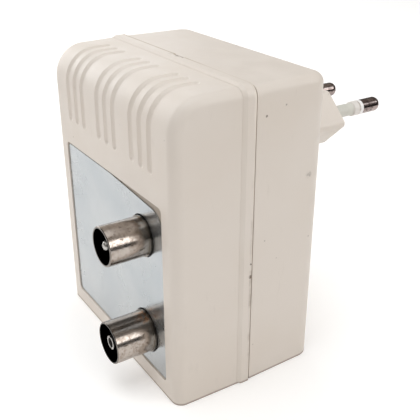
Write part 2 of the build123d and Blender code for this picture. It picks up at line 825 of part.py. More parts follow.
def transformer_core():
    """Laminated core: outer frame with two windows beside the middle leg."""
    core = block(-core_width / 2, core_width / 2, transformer_y - core_stack / 2,
                 transformer_y + core_stack / 2, transformer_z - core_height / 2,
                 transformer_z + core_height / 2)
    window_outer = core_width / 2 - core_leg / 2
    for side in (-1, 1):
        near, far = sorted((side * core_leg / 2, side * window_outer))
        core = core - block(near, far, transformer_y - core_stack, transformer_y + core_stack,
                            window_low_z, window_top_z)
    return core


def transformer_bobbin():
    """Bobbin: tube round the middle leg, two end flanges that reach the board, one divider."""
    half_x = core_leg / 2 + bobbin_gap
    half_y = core_stack / 2 + bobbin_gap
    low = window_low_z + bobbin_gap
    top = window_top_z - bobbin_gap
    tube = block(-half_x - bobbin_wall, half_x + bobbin_wall, transformer_y - half_y - bobbin_wall,
                 transformer_y + half_y + bobbin_wall, low, top)
    middle = (low + top) / 2
    for z0 in (low, middle - bobbin_flange / 2, top - bobbin_flange):
        flange_front = transformer_y - half_y - bobbin_reach
        if z0 != middle - bobbin_flange / 2:
            flange_front = power_board_back
        tube = tube + block(-half_x - bobbin_reach, half_x + bobbin_reach, flange_front,
                            transformer_y + half_y + bobbin_reach, z0, z0 + bobbin_flange)
    return tube - block(-half_x, half_x, transformer_y - half_y, transformer_y + half_y,
                        low - overrun, top + overrun)


def winding(upper):
    """One winding in its half of the bobbin."""
    low = window_low_z + bobbin_gap + bobbin_flange
    top = window_top_z - bobbin_gap - bobbin_flange
    middle = (low + top) / 2
    half = bobbin_flange / 2 + winding_clearance
    if upper:
        return ring_round_leg(winding_reach, middle + half, top - winding_clearance, winding_corner_radius)
    return ring_round_leg(winding_reach, low + winding_clearance, middle - half, winding_corner_radius)


def thermal_fuse():
    """Fuse lying on the primary winding, on the plug side."""
    low = window_low_z + bobbin_gap + bobbin_flange
    middle = (window_low_z + window_top_z) / 2
    centre_z = (low + middle - bobbin_flange / 2) / 2
    centre_y = transformer_y + core_stack / 2 + bobbin_gap + winding_reach + fuse_radius
    body = Rot(0, 90, 0) * Cylinder(fuse_radius, fuse_length)
    return Pos(0, centre_y, centre_z) * body


def smoothing_capacitor():
    """Electrolytic can standing on the power board."""
    x, z = smoothing_spot
    can = rod_y(smoothing_radius, power_board_back, power_board_back + smoothing_length, x, z)
    return fillet(can.edges().filter_by(GeomType.CIRCLE), smoothing_bevel)


def rectifier_diodes():
    """Diodes in a row, each a body on two bent wires."""
    made = []
    for number in range(diode_count):
        x = (number - (diode_count - 1) / 2) * diode_pitch
        y = power_board_back + diode_stand + diode_radius
        body = Pos(x, y, diode_z) * Cylinder(diode_radius, diode_length)
        reach = diode_length / 2 + diode_overhang
        body = body + Pos(x, y, diode_z) * Cylinder(diode_wire_radius, 2 * reach)
        for side in (-1, 1):
            z = diode_z + side * reach
            body = body + rod_y(diode_wire_radius, power_board_back, y, x, z)
            body = body + Pos(x, y, z) * Sphere(diode_wire_radius)
        made.append(body)
    return Compound(children=made)


def voltage_regulator():
    """Small regulator on three legs: round body with one flat side."""
    x, z = regulator_spot
    low = power_board_back + regulator_leg_length
    body = rod_y(regulator_radius, low, low + regulator_height, x, z)
    body = body - block(x - regulator_radius - overrun, x + regulator_radius + overrun, low - overrun,
                        low + regulator_height + overrun, z - regulator_radius - overrun, z - regulator_flat)
    for number in (-1, 0, 1):
        leg_x = x + number * regulator_leg_pitch
        body = body + rod_y(regulator_leg_radius, power_board_back, low + regulator_leg_length / 2, leg_x, z)
    return body


def mains_lead(side):
    """Lead from a pin's tail down to the power board."""
    tail = pin_plane(side).location * Pos(0, 0, -boss_end_wall - pin_tail_length)
    start = tail.position
    end = Vector(side * (power_board_right - mains_lead_from_board_side), power_board_back, diode_z)
    route = [tuple(start)]
    for shares in zip(mains_lead_x_shares, mains_lead_y_shares, mains_lead_drop_shares):
        route.append(tuple(a + (b - a) * share for a, b, share in zip(start, end, shares)))
    route.append(tuple(end))
    return wire_solid(route, lead_radius, f"mains lead {side}")


def dc_lead(number):
    """Lead from the power board round the can's side to the feedthrough or the can itself."""
    z = dc_lead_spots_z[number]
    end_x = can_left if number else can_left - feedthrough_length / 2 - feedthrough_wire_length
    route = [(dc_lead_x, power_board_front, z), (dc_lead_x, feedthrough_y, z), (end_x, feedthrough_y, z)]
    return wire_solid(route, dc_lead_radius, f"supply lead {number}")


def feedthrough_capacitor():
    """Capacitor in the can's side wall that brings the supply in."""
    z = dc_lead_spots_z[0]
    body = Pos(can_left, feedthrough_y, z) * Rot(0, 90, 0) * Cylinder(feedthrough_radius, feedthrough_length)
    length = feedthrough_length + 2 * feedthrough_wire_length
    wire = Pos(can_left, feedthrough_y, z) * Rot(0, 90, 0) * Cylinder(feedthrough_wire_radius, length)
    return body + wire


def main():
    os.makedirs("parts", exist_ok=True)
    save(front_shell(), "front_shell")
    save(rear_shell(), "rear_shell")
    save(front_label(), "front_label")
    save(socket_shell(male_z, male_radius, male_wall), "tv_socket_shell")
    save(socket_insulator(male_z, male_radius, male_wall, male_seat_length, male_pin_radius),
         "tv_socket_insulator")
    save(male_pin(), "tv_socket_pin")
    save(socket_shell(female_z, female_radius, female_wall), "aerial_socket_shell")
    save(socket_insulator(female_z, female_radius, female_wall, female_seat_length, female_contact_radius),
         "aerial_socket_insulator")
    save(female_contact(), "aerial_socket_contact")
    for side, name in ((-1, "left"), (1, "right")):
        save(plug_pin(side), f"plug_pin_{name}")
        save(pin_sleeve(side), f"pin_sleeve_{name}")
        save(mains_lead(side), f"mains_lead_{name}")
    save(case_screws(), "case_screws")
    save(board_screws(), "board_screws")
    save(shield_can(), "shield_can")
    save(shield_lid(), "shield_lid")
    save(insulation_barrier(), "insulation_barrier")
    save(radio_board(), "radio_board")
    save(ferrite_rings(), "ferrite_rings")
    save(transistors(), "transistors")
    save(disc_capacitors(), "disc_capacitors")
    save(power_board(), "power_board")
    save(transformer_core(), "transformer_core")
    save(transformer_bobbin(), "transformer_bobbin")
    save(winding(False), "primary_winding")
    save(winding(True), "secondary_winding")
    save(thermal_fuse(), "thermal_fuse")
    save(smoothing_capacitor(), "smoothing_capacitor")
    save(rectifier_diodes(), "rectifier_diodes")
    save(voltage_regulator(), "voltage_regulator")
    save(dc_lead(0), "supply_lead_positive")
    save(dc_lead(1), "supply_lead_negative")
    save(feedthrough_capacitor(), "feedthrough_capacitor")


main()
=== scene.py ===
"""Looks of the aerial signal amplifier: finishes on its CAD pieces, light and camera.

Metres, in the frame of the CAD: X to the right, Y from the front face to the plug, Z up from the underside.
"""
import math

import bpy
import numpy as np
from mathutils import Matrix, Vector

# Camera: place in metres, angles in degrees, focal length in pixels of the photo, sensor in millimetres
CAMERA_PLACE = (0.14162, -0.08383, 0.11349)
CAMERA_AZIMUTH = 56.90
CAMERA_DROP = 25.66
CAMERA_ROLL = 0.13
FOCAL_PIXELS = 692.07
PHOTO_PIXELS = 420
SENSOR_WIDTH = 36.0
NEAREST_SEEN = 0.001

# Case: surfaces and edges that carry marks, in metres
SIDE_X = 0.0308
BAND_PROUD = 0.0004
SEAM_Y = -0.0005
SEAM_SPREAD = (0.0003, 0.0008)
PRY_MARK = (0.0008, -0.0008, 0.0753)
# Heights over which the painted contact shadow along the lower edge fades out
CONTACT_SHADOW_HEIGHTS = (0.00020, 0.00065)
TOP_LINE_Y = SEAM_Y - 0.00015
TOP_LINE_SPREAD = (0.00018, 0.00038)
TOP_LINE_FADES = (0.001, 0.018)
TOP_HEIGHTS = (0.0735, 0.0745)

# Case: heights between which the seam's dirt with painted shade, and its painted light, change, in metres
SEAM_DARKENING_THINS = (0.040, 0.068)
SEAM_LIGHTENING_BEGINS = (0.030, 0.060)
SEAM_LIGHTENING_GROWS = (0.062, 0.072)
SEAM_LIGHTENING_ENDS = (0.0732, 0.0745)

# Case: dirt seen in the photo, as place, inner and outer radius, and share; over one, the middle is solid
CASE_MARKS = (
    (PRY_MARK, 0.0004, 0.0014, 0.80),
    ((-0.0022, SEAM_Y - 0.0006, 0.0755), 0.0002, 0.0012, 0.50),
    ((SIDE_X, 0.0026, 0.0682), 0.0001, 0.0004, 5.5),
    ((SIDE_X, 0.0079, 0.0698), 0.0001, 0.0004, 0.60),
    ((SIDE_X, 0.0157, 0.0518), 0.0003, 0.0012, 0.45),
    ((SIDE_X + BAND_PROUD, SEAM_Y - 0.0003, 0.0302), 0.0002, 0.0006, 5.0),
    ((SIDE_X + BAND_PROUD, SEAM_Y - 0.0003, 0.0335), 0.0001, 0.0004, 4.0),
)

# Brown on the floor of the label's recess: half width where it ends, and limits as axis, two places and the
# share at each
RECESS_FLOOR_Y = -0.0199
RECESS_BROWN_HALF_WIDTH = (0.0256, 0.0264)
RECESS_BROWN_LIMITS = (
    ("Z", 0.0030, 0.0038, 0.0, 1.0),
    ("Z", 0.0503, 0.0512, 1.0, 0.0),
    ("Y", RECESS_FLOOR_Y - 0.00030, RECESS_FLOOR_Y - 0.00005, 0.0, 1.0),
    ("Y", RECESS_FLOOR_Y + 0.0001, RECESS_FLOOR_Y + 0.0002, 1.0, 0.0),
    ("X", -0.024, -0.002, 0.25, 1.0),
    ("Z", 0.006, 0.030, 0.25, 1.0),
)

# Sockets and plug: places along Y, and how far a rim or an edge of colour reaches, in metres
MOUTH_Y = -0.0305
RIM_REACH = (0.00008, 0.00022)
BORE_EDGE = 0.00012
# Painted shade: depths past the mouth over which the contacts darken
CONTACT_SHADE_DEPTHS = (0.0007, 0.0014)
FOOT_GRIME = (-0.0228, -0.0204)
# Painted shade: places along Y of the black ring at each barrel's foot
FOOT_SHADE_RING = (-0.02082, -0.0207)
# Heights above a barrel's centre over which its top grows darker
TOP_TONE_RISES = (0.0022, 0.0044)
RUST_BESIDE = 0.0012
RUST_ABOVE = 0.0052
RUST_Y = -0.0213
RUST_SPREAD = (0.0010, 0.0034)
COLLAR_Y = 0.0483
COLLAR_RIM = 0.0022
COLLAR_END = 0.0024
COLLAR_RIM_SPREAD = (0.0001, 0.0004)
TONE_EDGE = 0.0002

# Barrels: centre in X and Z, radius of the bore that is painted black as shade, share of pocks and of the
# darker top, and share of rust
BARRELS = {
    "tv_barrel_nickel": ((0.0158, 0.0397), 0.00427, 0.40, 0.20),
    "aerial_barrel_nickel": ((0.0158, 0.01365), 0.00488, 0.80, 0.65),
}

# Colours of the case, as linear red, green and blue
CASE_CREAM = (0.690, 0.622, 0.556)
CASE_AGED = (0.640, 0.555, 0.470)
CASE_SCUFF = (0.48, 0.42, 0.36)
DIRT = (0.090, 0.060, 0.040)
# Dirt with painted shade in the seam, and paler painted light that lifts the seam's shade
SEAM_DIRT_AND_SHADE = (0.24, 0.17, 0.12)
SEAM_PAINTED_LIGHT = (0.75, 0.675, 0.595)
TOP_LINE_TAN = (0.40, 0.31, 0.21)
# Painted contact shadow along the lower edge of the case
CONTACT_SHADOW_BROWN = (0.22, 0.155, 0.115)
RECESS_BROWN = (0.26, 0.20, 0.14)

# Colours of the foil and the worn metals
FOIL_COOL = (0.445, 0.475, 0.495)
FOIL_PALE = (0.51, 0.53, 0.54)
FOIL_NICK = (0.25, 0.23, 0.21)
NICKEL_BRIGHT = (0.50, 0.448, 0.405)
NICKEL_BROWN = (0.35, 0.290, 0.245)
NICKEL_STAIN = (0.10, 0.07, 0.05)
NICKEL_POCK = (0.16, 0.095, 0.06)
NICKEL_SPECK = (0.12, 0.07, 0.05)
# Tone that darkens the top of each barrel
TOP_TONE = (0.17, 0.15, 0.135)
GRIME = (0.155, 0.140, 0.110)
RUST = (0.30, 0.14, 0.06)
# Painted shade at the foot of each barrel
FOOT_SHADE = (0.045, 0.036, 0.030)
RIM_BROWN = (0.11, 0.095, 0.08)
# Painted shade: the bore inside each barrel is painted nearly black
BORE_SHADE = (0.012, 0.010, 0.009)
CONTACT_PALE = (0.50, 0.485, 0.46)
CONTACT_DULL = (0.34, 0.315, 0.29)
# Painted shade deep inside the sockets
CONTACT_PAINTED_SHADE = (0.035, 0.032, 0.030)
PIN_BROWN = (0.37, 0.305, 0.285)
PIN_DARK = (0.19, 0.145, 0.135)
PIN_SPOT = (0.075, 0.055, 0.050)

# Colours of the pin sleeves and of pieces inside
SLEEVE_GREY = (0.55, 0.535, 0.475)
SLEEVE_PALE = (0.62, 0.60, 0.535)
COLLAR_CREAM = (0.70, 0.655, 0.61)
COLLAR_WHITE = (0.84, 0.82, 0.80)
COLLAR_DIRT = (0.25, 0.18, 0.13)
BOARD_DARK = (0.30, 0.17, 0.065)
BOARD_PALE = (0.42, 0.26, 0.11)
STEEL_LINE = (0.12, 0.12, 0.125)
STEEL_SHEET = (0.30, 0.30, 0.31)
STEEL_RUST = (0.22, 0.10, 0.05)
COPPER_GAP = (0.26, 0.07, 0.025)
COPPER_TURN = (0.72, 0.30, 0.13)

# Plain mouldings: paler tone, duller tone and roughness
MOULDINGS = {
    "socket_core_black": ((0.012, 0.012, 0.012), (0.030, 0.028, 0.026), 0.55),
    "component_black": ((0.018, 0.018, 0.020), (0.040, 0.040, 0.042), 0.45),
    "barrier_paper": ((0.46, 0.40, 0.28), (0.54, 0.48, 0.35), 0.85),
    "ring_ferrite": ((0.045, 0.045, 0.050), (0.080, 0.078, 0.080), 0.5),
    "disc_ceramic": ((0.58, 0.28, 0.07), (0.48, 0.21, 0.05), 0.38),
    "bobbin_nylon": ((0.72, 0.66, 0.50), (0.64, 0.57, 0.42), 0.45),
    "fuse_glaze": ((0.52, 0.49, 0.44), (0.44, 0.41, 0.36), 0.30),
    "capacitor_sleeve": ((0.020, 0.030, 0.110), (0.030, 0.042, 0.140), 0.28),
    "lead_brown": ((0.18, 0.065, 0.025), (0.13, 0.045, 0.018), 0.45),
    "lead_blue": ((0.03, 0.10, 0.36), (0.02, 0.075, 0.28), 0.45),
    "lead_red": ((0.52, 0.03, 0.025), (0.40, 0.02, 0.02), 0.45),
    "lead_black": ((0.020, 0.020, 0.020), (0.035, 0.035, 0.035), 0.45),
}

# Plated and rolled metals: paler tone, duller tone, roughness and features a metre
METALS = {
    "tinned_sheet": ((0.72, 0.73, 0.74), (0.50, 0.50, 0.50), 0.30, 160.0),
    "contact_tin": ((0.46, 0.44, 0.41), (0.32, 0.295, 0.27), 0.34, 900.0),
    "screw_zinc": ((0.70, 0.70, 0.70), (0.48, 0.47, 0.45), 0.32, 600.0),
}

# CAD nodes by their finish
NODES_BY_FINISH = {
    "case_cream_plastic": ("front_shell", "rear_shell"),
    "label_silver_foil": ("front_label",),
    "tv_barrel_nickel": ("tv_socket_shell",),
    "aerial_barrel_nickel": ("aerial_socket_shell",),
    "socket_core_black": ("tv_socket_insulator", "aerial_socket_insulator"),
    "tv_pin_tin": ("tv_socket_pin",),
    "aerial_contact_tin": ("aerial_socket_contact",),
    "pin_nickel": ("plug_pin_left", "plug_pin_right"),
    "pin_sleeve_cream": ("pin_sleeve_left", "pin_sleeve_right"),
    "screw_zinc": ("case_screws", "board_screws"),
    "tinned_sheet": ("shield_can", "shield_lid"),
    "barrier_paper": ("insulation_barrier",),
    "board_laminate": ("radio_board", "power_board"),
    "ring_ferrite": ("ferrite_rings",),
    "component_black": ("transistors", "rectifier_diodes", "voltage_regulator"),
    "disc_ceramic": ("disc_capacitors",),
    "contact_tin": ("feedthrough_capacitor",),
    "core_steel_stack": ("transformer_core",),
    "bobbin_nylon": ("transformer_bobbin",),
    "winding_copper": ("primary_winding", "secondary_winding"),
    "fuse_glaze": ("thermal_fuse",),
    "capacitor_sleeve": ("smoothing_capacitor",),
    "lead_brown": ("mains_lead_left",),
    "lead_blue": ("mains_lead_right",),
    "lead_red": ("supply_lead_positive",),
    "lead_black": ("supply_lead_negative",),
}

# Table and surround: reach in metres, colours and levels
TABLE_REACH = 3.0
TABLE_PAINT = (0.88, 0.865, 0.85, 1)
TABLE_GLOW = (1, 0.98, 0.96, 1)
FLOOR_GLOW = 0.20
SKY_LEVEL = 0.48

# Dim dome that metal mirrors: metres, degrees, the shares of its radius where it brightens, and levels
DOME_RADIUS = 1.6
DOME_FROM = 0.5
DOME_COLUMNS = 48
DOME_ROWS = 13
DOME_DIM_BELOW = 0.30
DOME_PALE_ABOVE = 0.62
DOME_LOW = 0.10
DOME_HIGH = 0.34
DOME_WARM = (1.0, 0.93, 0.86, 1)

# Bright window on the dome
WINDOW_PLACE = (0.784, 1.08, 0.885)
WINDOW_RADIUS = 0.20
WINDOW_SOFTNESS = 1.25
WINDOW_LEVEL = 2.3
WINDOW_COOL = (0.90, 0.97, 1.0, 1)

# Dark strip to the right of the case, in metres and degrees
FLAG_RADIUS = 0.28
FLAG_BEARINGS = (-10.0, 75.0)
FLAG_COLUMNS = 25
FLAG_FOOT = 0.001
FLAG_HEIGHT = 0.10
FLAG_BLACK = (0.02, 0.02, 0.02, 1)

# Softboxes: name, place, size in metres, power in watts and tint; all aim at the middle of the case
CASE_MIDDLE = (0, 0, 0.04)
WHITE = (1.0, 1.0, 1.0)
SOFTBOXES = (
    ("top_softbox", (0.0, -0.05, 0.80), 0.60, 2.75, (0.93, 0.97, 1.0)),
    ("right_softbox", (0.72, 0.42, 0.46), 0.51, 2.3, WHITE),
    ("left_softbox", (-0.85, -0.22, 0.30), 0.50, 2.5, WHITE),
    ("front_softbox", (0.05, -0.62, 0.70), 0.50, 0.60, WHITE),
    ("edge_softbox", (-0.88, 0.12, 0.30), 0.75, 2.0, WHITE),
)

# Small low lamp that stands for light from the table on the front face
BOUNCE_PLACE = (-0.005, -0.10, 0.006)
BOUNCE_TARGET = (-0.005, -0.02, 0.0)
BOUNCE_SIZE = 0.07
BOUNCE_POWER = 0.014


class Finish:
    """One procedural material: a Principled shader and the nodes that feed it."""

    def __init__(self, name, metallic=0.0, specular=0.5):
        self.material = bpy.data.materials.new(name)
        self.material.use_nodes = True
        self.tree = self.material.node_tree
        self.shader = self.tree.nodes["Principled BSDF"]
        self.shader.inputs["Metallic"].default_value = metallic
        self.shader.inputs["Specular IOR Level"].default_value = specular
        self.place = self.tree.nodes.new("ShaderNodeTexCoord").outputs["Object"]

    def put(self, socket, value):
        """Links an output to a socket, or writes a number or a colour on it."""
        if isinstance(value, bpy.types.NodeSocket):
            self.tree.links.new(value, socket)
        elif isinstance(value, tuple) and socket.type == "RGBA" and len(value) == 3:
            socket.default_value = (*value, 1.0)
        else:
            socket.default_value = value

    def stretched(self, scale, turn=(0.0, 0.0, 0.0)):
        """Object coordinates scaled by three factors, for grain that runs one way."""
        mapping = self.tree.nodes.new("ShaderNodeMapping")
        self.put(mapping.inputs["Vector"], self.place)
        mapping.inputs["Scale"].default_value = scale
        mapping.inputs["Rotation"].default_value = turn
        return mapping.outputs["Vector"]

    def noise(self, scale, detail=3.0, roughness=0.55, vector=None, distortion=0.0):
        """Cloudy value from 0 to 1 with the given number of features a metre."""
        cloud = self.tree.nodes.new("ShaderNodeTexNoise")
        self.put(cloud.inputs["Vector"], vector or self.place)
        cloud.inputs["Scale"].default_value = scale
        cloud.inputs["Detail"].default_value = detail
        cloud.inputs["Roughness"].default_value = roughness
        cloud.inputs["Distortion"].default_value = distortion
        return cloud.outputs["Fac"]

    def cells(self, scale):
        """Distance to the nearest point of a scatter with the given number of points a metre."""
        scatter = self.tree.nodes.new("ShaderNodeTexVoronoi")
        self.put(scatter.inputs["Vector"], self.place)
        scatter.inputs["Scale"].default_value = scale
        return scatter.outputs["Distance"]

    def stripes(self, direction, scale, distortion):
        """Wavy value from 0 to 1 that changes along one axis."""
        wave = self.tree.nodes.new("ShaderNodeTexWave")
        wave.bands_direction = direction
        self.put(wave.inputs["Vector"], self.place)
        wave.inputs["Scale"].default_value = scale
        wave.inputs["Distortion"].default_value = distortion
        return wave.outputs["Fac"]

    def band(self, value, low, high, bottom=0.0, top=1.0):
        """Value stretched so that low becomes bottom and high becomes top, smooth and clamped."""
        remap = self.tree.nodes.new("ShaderNodeMapRange")
        remap.interpolation_type = "SMOOTHSTEP"
        self.put(remap.inputs["Value"], value)
        for name, number in (("From Min", low), ("From Max", high), ("To Min", bottom), ("To Max", top)):
            remap.inputs[name].default_value = number
        return remap.outputs["Result"]

    def reckon(self, operation, first, second):
        """Arithmetic on two values."""
        node = self.tree.nodes.new("ShaderNodeMath")
        node.operation = operation
        self.put(node.inputs[0], first)
        self.put(node.inputs[1], second)
        return node.outputs[0]

    def times(self, first, second):
        """Product of two values."""
        return self.reckon("MULTIPLY", first, second)

    def axis(self, letter):
        """One object coordinate."""
        split = self.tree.nodes.new("ShaderNodeSeparateXYZ")
        self.put(split.inputs[0], self.place)
        return split.outputs[letter]

    def near(self, point, inner, outer, vector=None):
        """One within the inner distance of a point, nothing past the outer one."""
        gap = self.tree.nodes.new("ShaderNodeVectorMath")
        gap.operation = "DISTANCE"
        self.put(gap.inputs[0], vector or self.place)
        gap.inputs[1].default_value = point
        return self.band(gap.outputs["Value"], inner, outer, 1.0, 0.0)

    def near_plane(self, letter, place, inner, outer):
        """One within the inner distance of a place on one axis, nothing past the outer one."""
        gap = self.reckon("ABSOLUTE", self.reckon("SUBTRACT", self.axis(letter), place), 0.0)
        return self.band(gap, inner, outer, 1.0, 0.0)

    def blend(self, share, first, second):
        """Two colours mixed by a share: all first at nothing, all second at one."""
        mix = self.tree.nodes.new("ShaderNodeMix")
        mix.data_type = "RGBA"
        self.put(mix.inputs["Factor"], share)
        self.put(mix.inputs["A"], first)
        self.put(mix.inputs["B"], second)
        return mix.outputs["Result"]

    def relief(self, height, distance, strength, below=None):
        """Bump from a height value; distance in metres; another bump may lie below."""
        bump = self.tree.nodes.new("ShaderNodeBump")
        self.put(bump.inputs["Height"], height)
        bump.inputs["Distance"].default_value = distance
        bump.inputs["Strength"].default_value = strength
        if below is not None:
            self.put(bump.inputs["Normal"], below)
        return bump.outputs["Normal"]

    def wear(self, colour, roughness, normal):
        """Hands colour, roughness and normal to the shader and gives the material back."""
        self.put(self.shader.inputs["Base Color"], colour)
        self.put(self.shader.inputs["Roughness"], roughness)
        self.put(self.shader.inputs["Normal"], normal)
        return self.material


def aged_cream(finish):
    """Cream that yellows slowly over the case, with faint scuffs."""
    slow = finish.noise(38.0, detail=2.0)
    colour = finish.blend(finish.band(slow, 0.35, 0.75, top=0.34), CASE_CREAM, CASE_AGED)
    slanted = finish.stretched((1.0, 2.6, 0.55), turn=(0.4, 0.2, 0.0))
    scuffs = finish.noise(160.0, detail=5.0, roughness=0.7, vector=slanted, distortion=0.6)
    return finish.blend(finish.band(scuffs, 0.60, 0.74, top=0.16), colour, CASE_SCUFF)


def scattered_specks(finish, colour):
    """Small specks of dirt in some areas of the case."""
    specks = finish.band(finish.cells(310.0), 0.03, 0.085, 1.0, 0.0)
    specks = finish.times(specks, finish.band(finish.noise(70.0), 0.55, 0.68))
    return finish.blend(finish.times(specks, 0.55), colour, DIRT)


def placed_marks(finish, colour):
    """Gritty dirt at the places where the photo shows it."""
    grit = finish.band(finish.noise(1500.0, detail=4.0), 0.38, 0.60, 0.12, 1.0)
    for point, inner, outer, share in CASE_MARKS:
        spot = finish.times(finish.times(finish.near(point, inner, outer), grit), share)
        colour = finish.blend(spot, colour, DIRT)
    return colour


def seam_dirt_and_painted_light(finish, colour):
    """Brown dirt with painted shade in the seam, thinner towards the top, and paler colour high on the sides
    as painted light that lifts the seam's shade.
    """
    height = finish.axis("Z")
    seam = finish.near_plane("Y", SEAM_Y, *SEAM_SPREAD)
    # Dirt together with painted shade in the seam
    dirt_and_shade = finish.band(finish.noise(240.0, detail=4.0), 0.42, 0.66, 0.05, 0.42)
    dirt_and_shade = finish.times(dirt_and_shade, finish.band(height, *SEAM_DARKENING_THINS, 1.0, 0.2))
    colour = finish.blend(finish.times(seam, dirt_and_shade), colour, SEAM_DIRT_AND_SHADE)
    # Painted light: paler colour high in the seam that lifts its shade
    lightened = finish.reckon("ADD", finish.band(height, *SEAM_LIGHTENING_BEGINS, top=0.42),
                          finish.band(height, *SEAM_LIGHTENING_GROWS, top=0.38))
    lightened = finish.times(lightened, finish.band(height, *SEAM_LIGHTENING_ENDS, 1.0, 0.30))
    return finish.blend(finish.times(seam, lightened), colour, SEAM_PAINTED_LIGHT)


def tan_top_line(finish, colour):
    """Tan line along the seam on top, fainter to the right."""
    line = finish.near_plane("Y", TOP_LINE_Y, *TOP_LINE_SPREAD)
    line = finish.times(line, finish.band(finish.axis("Z"), *TOP_HEIGHTS, top=0.72))
    line = finish.times(line, finish.band(finish.axis("X"), *TOP_LINE_FADES, 1.0, 0.20))
    return finish.blend(line, colour, TOP_LINE_TAN)


def painted_contact_shadow(finish, colour):
    """Painted contact shadow: a thin dark line where the case meets the table."""
    return finish.blend(finish.band(finish.axis("Z"), *CONTACT_SHADOW_HEIGHTS, 0.75, 0.0), colour, CONTACT_SHADOW_BROWN)


def brown_recess_floor(finish, colour):
    """Brown on the floor of the label's recess, less to its left and below, nowhere else."""
    aside = finish.reckon("ABSOLUTE", finish.axis("X"), 0.0)
    share = finish.band(aside, *RECESS_BROWN_HALF_WIDTH, 1.0, 0.0)
    for letter, *limits in RECESS_BROWN_LIMITS:
        share = finish.times(share, finish.band(finish.axis(letter), *limits))
    return finish.blend(finish.times(share, 0.75), colour, RECESS_BROWN)


def case_plastic(name):
    """Aged cream moulding with specks, marks, seam dirt with painted shade and painted light, brown on the
    recess floor, a painted contact shadow, slow waves and a fine grain.
    """
    finish = Finish(name, specular=0.42)
    colour = aged_cream(finish)
    for layer in (scattered_specks, placed_marks, seam_dirt_and_painted_light, tan_top_line, painted_contact_shadow, brown_recess_floor):
        colour = layer(finish, colour)
    roughness = finish.band(finish.noise(220.0, detail=4.0), 0.25, 0.75, 0.36, 0.52)
    grain = finish.relief(finish.noise(2600.0, detail=2.0), distance=0.00004, strength=0.35)
    waves = finish.relief(finish.noise(90.0, detail=1.0), distance=0.00012, strength=0.25, below=grain)
    return finish.wear(colour, roughness, waves)


def label_foil(name):
    """Rolled silver film: near mirror, with fine rolling lines, faint clouding and small nicks."""
    finish = Finish(name, metallic=0.92)
    colour = finish.blend(finish.band(finish.noise(60.0), 0.3, 0.7), FOIL_COOL, FOIL_PALE)
    nicks = finish.band(finish.cells(420.0), 0.02, 0.06, 1.0, 0.0)
    nicks = finish.times(nicks, finish.band(finish.noise(90.0), 0.55, 0.66, top=0.35))
    colour = finish.blend(nicks, colour, FOIL_NICK)
    roughness = finish.band(finish.noise(130.0, detail=4.0), 0.3, 0.7, 0.16, 0.30)
    lines = finish.noise(900.0, detail=2.0, roughness=0.5, vector=finish.stretched((0.06, 1.0, 1.0)))
    rolled = finish.relief(lines, distance=0.000008, strength=0.5)
    lift = finish.relief(finish.noise(55.0, detail=1.0), distance=0.0003, strength=0.28, below=rolled)
    return finish.wear(colour, roughness, lift)


def stained(finish, colour, pock_and_top_share):
    """Dark stains, pocks and specks all over a barrel."""
    stain = finish.noise(1300.0, detail=4.0, roughness=0.6, vector=finish.stretched((1.0, 0.5, 1.0)))
    colour = finish.blend(finish.band(stain, 0.60, 0.69, top=0.8), colour, NICKEL_STAIN)
    pocks = finish.band(finish.noise(2400.0, detail=5.0, roughness=0.7), 0.56, 0.64, top=pock_and_top_share)
    pocks = finish.times(pocks, finish.band(finish.noise(420.0), 0.46, 0.60))
    colour = finish.blend(pocks, colour, NICKEL_POCK)
    specks = finish.band(finish.cells(900.0), 0.06, 0.16, 0.8, 0.0)
    specks = finish.times(specks, finish.band(finish.noise(300.0), 0.50, 0.62))
    return finish.blend(specks, colour, NICKEL_SPECK)


def grime_rust_and_foot_shade(finish, colour, centre, rust):
    """Grime and a little rust where a barrel leaves the case, and a black ring of painted shade at the very
    foot.
    """
    foot = finish.band(finish.axis("Y"), *FOOT_GRIME)
    foot = finish.times(foot, finish.band(finish.noise(700.0, detail=4.0), 0.30, 0.66, 0.35, 0.80))
    colour = finish.blend(foot, colour, GRIME)
    rusty = finish.near((centre[0] + RUST_BESIDE, RUST_Y, centre[1] + RUST_ABOVE), *RUST_SPREAD)
    rusty = finish.times(rusty, finish.band(finish.noise(1500.0, detail=4.0), 0.44, 0.58, top=rust))
    colour = finish.blend(rusty, colour, RUST)
    # Painted shade: a black ring at the very foot
    return finish.blend(finish.band(finish.axis("Y"), *FOOT_SHADE_RING, top=0.8), colour, FOOT_SHADE)


def rim_and_shaded_bore(finish, colour, centre, bore):
    """Brown rim at the mouth of a barrel, and the bore painted black as shade."""
    rim = finish.band(finish.axis("Y"), *(MOUTH_Y + reach for reach in RIM_REACH), 1.0, 0.0)
    colour = finish.blend(finish.times(rim, 0.75), colour, RIM_BROWN)
    across = finish.stretched((1.0, 0.0, 1.0))
    # Painted shade: the inside of the barrel is painted black
    inside = finish.near((centre[0], 0.0, centre[1]), bore, bore + BORE_EDGE, across)
    return finish.blend(inside, colour, BORE_SHADE)


